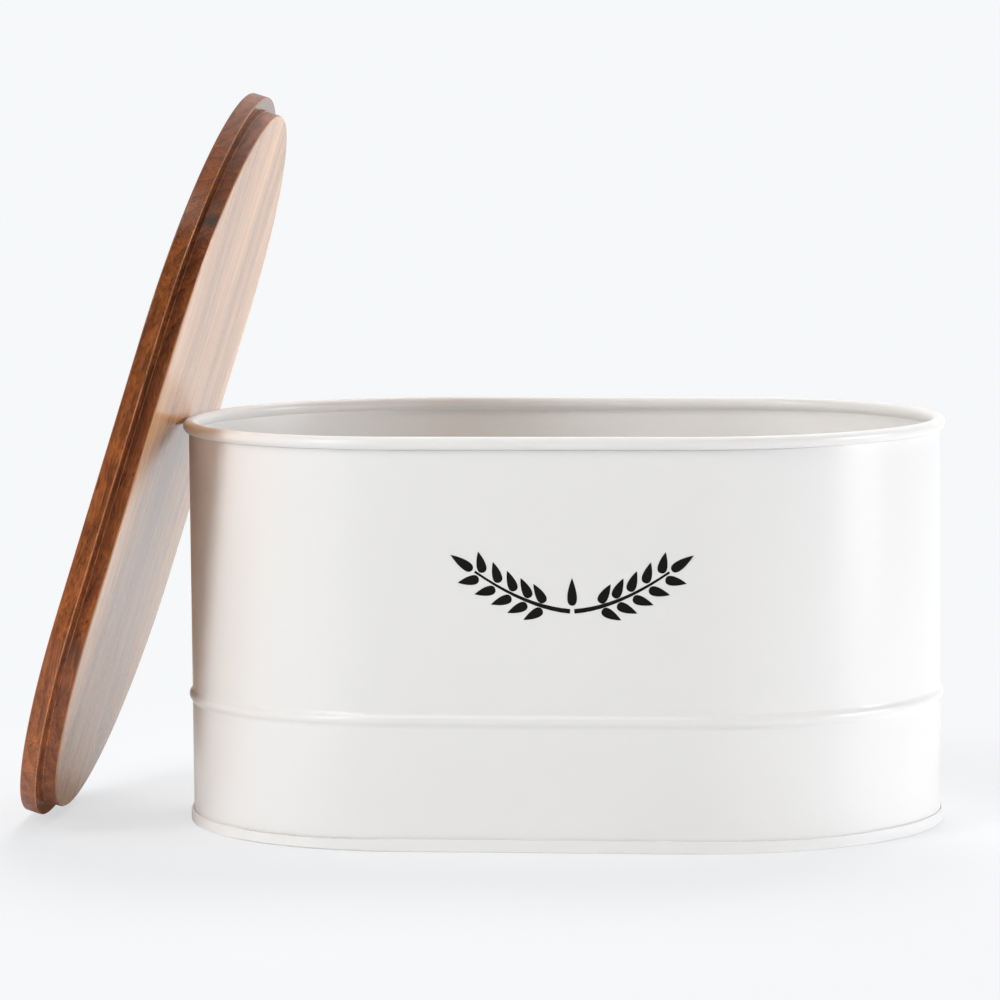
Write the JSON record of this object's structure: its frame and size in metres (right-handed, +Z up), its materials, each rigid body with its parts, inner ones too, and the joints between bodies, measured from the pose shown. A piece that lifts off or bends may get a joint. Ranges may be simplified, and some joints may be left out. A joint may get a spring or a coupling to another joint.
{
  "type": "bread box",
  "caption": "Oval painted steel bread box with a rolled rim, a beaded wall and a loose rebated wooden lid that leans on one end and closes the bin.",
  "frame": {"origin": "centre of the bin's base, on the surface that it stands on", "axes": "+X along the bin away from the leaning lid, -Y towards the front, +Z up"},
  "size_m": [0.4124, 0.212, 0.3243],
  "materials": {
    "painted_steel": "white satin powder coat",
    "steel_wire": "drawn, zinc plated",
    "lid_wood": "brown hardwood, clear lacquer",
    "dowel_wood": "plain beech"
  },
  "bodies": {
    "bin": {"bin_wall": "painted_steel", "rim_wire": "steel_wire", "base_pan": "painted_steel"},
    "centre_dowels": {"lid_dowels_centre": "dowel_wood"},
    "lid": {"lid_stave_1": "lid_wood", "lid_stave_2": "lid_wood", "lid_stave_3": "lid_wood", "lid_stave_4": "lid_wood", "lid_stave_5": "lid_wood", "lid_dowels_left": "dowel_wood", "lid_dowels_right": "dowel_wood"}
  },
  "joints": [
    {"name": "lid_swing", "type": "hinge", "parent": "bin", "child": "centre_dowels", "pos_m": [-0.09275, 0, 0.1802], "axis": [0, 1, 0], "range_deg": [0, 191.88]},
    {"name": "lid_turn", "type": "hinge", "parent": "centre_dowels", "child": "lid", "pos_m": [-0.18352, 0, 0.16111], "axis": [0, 1, 0], "range_deg": [-119.78, 0]}
  ],
  "couplings": [
    {"joint": "lid_turn", "follows": "lid_swing", "ratio": -0.62424}
  ]
}
